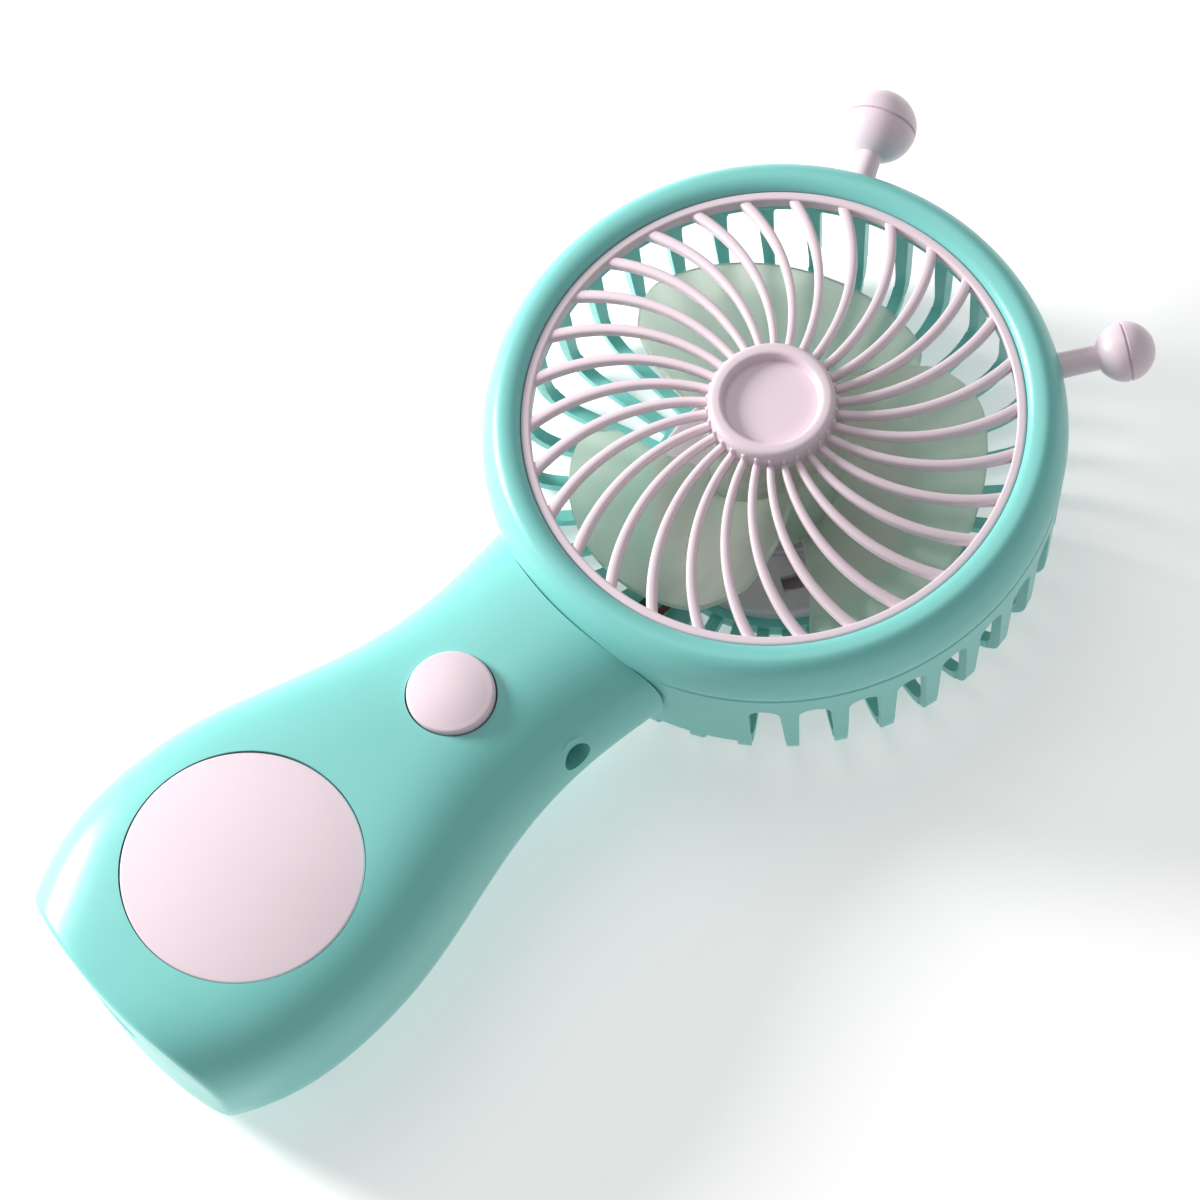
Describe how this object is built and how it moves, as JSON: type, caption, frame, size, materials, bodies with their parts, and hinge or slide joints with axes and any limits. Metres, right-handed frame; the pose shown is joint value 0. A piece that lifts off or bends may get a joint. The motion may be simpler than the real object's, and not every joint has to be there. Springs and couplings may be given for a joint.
{
  "type": "handheld fan",
  "caption": "Handheld battery fan: round grille head with two ball-tipped antennae, waisted handle with a push button, spinning impeller.",
  "frame": {"origin": "head axis at the surface the fan lies on, the middle of the flat back disc", "axes": "+Z along the head axis the way the air leaves, +Y from the handle's base to the head, +X to the right seen from the front"},
  "size_m": [0.1, 0.2095, 0.043],
  "materials": {
    "mint_shell": "gloss",
    "pink_trim": "gloss",
    "impeller_frost": "satin",
    "steel": "satin",
    "magnet_iron": "matte",
    "sintered_bronze": "satin",
    "board_green": "satin",
    "black_plastic": "matte",
    "cell_wrap": "satin",
    "lead_red": "satin",
    "lead_black": "satin",
    "led_lens": "gloss"
  },
  "bodies": {
    "housing": {"antenna_ball_left": "pink_trim", "antenna_ball_right": "pink_trim", "antenna_stem_left": "pink_trim", "antenna_stem_right": "pink_trim", "battery_cell": "cell_wrap", "bezel_ring": "mint_shell", "board_chips": "black_plastic", "charge_board": "board_green", "charge_port": "steel", "control_board": "board_green", "front_grille": "pink_trim", "handle_disc": "pink_trim", "handle_front": "mint_shell", "handle_rear": "mint_shell", "handle_screws": "steel", "lead_cell_black": "lead_black", "lead_cell_red": "lead_red", "lead_charge_black": "lead_black", "lead_charge_red": "lead_red", "lead_motor_black": "lead_black", "lead_motor_red": "lead_red", "motor_bushing_front": "sintered_bronze", "motor_bushing_rear": "sintered_bronze", "motor_can": "steel", "motor_cover": "pink_trim", "motor_end_cap": "black_plastic", "motor_magnets": "magnet_iron", "motor_mount": "pink_trim", "mount_screws": "steel", "rear_cage": "mint_shell", "status_led": "led_lens", "switch_body": "black_plastic"},
    "impeller": {"impeller": "impeller_frost", "motor_shaft": "steel", "rotor_core": "magnet_iron"},
    "button": {"button_cap": "pink_trim", "switch_plunger": "black_plastic"}
  },
  "joints": [
    {"name": "impeller_spin", "type": "hinge", "parent": "housing", "child": "impeller", "pos_m": [0, 0, 0.02], "axis": [0, 0, 1], "continuous": true},
    {"name": "button_press", "type": "slide", "parent": "housing", "child": "button", "axis": [0, 0, -1], "range_m": [0, 0.0006], "stiffness_N_per_m": 2500}
  ]
}
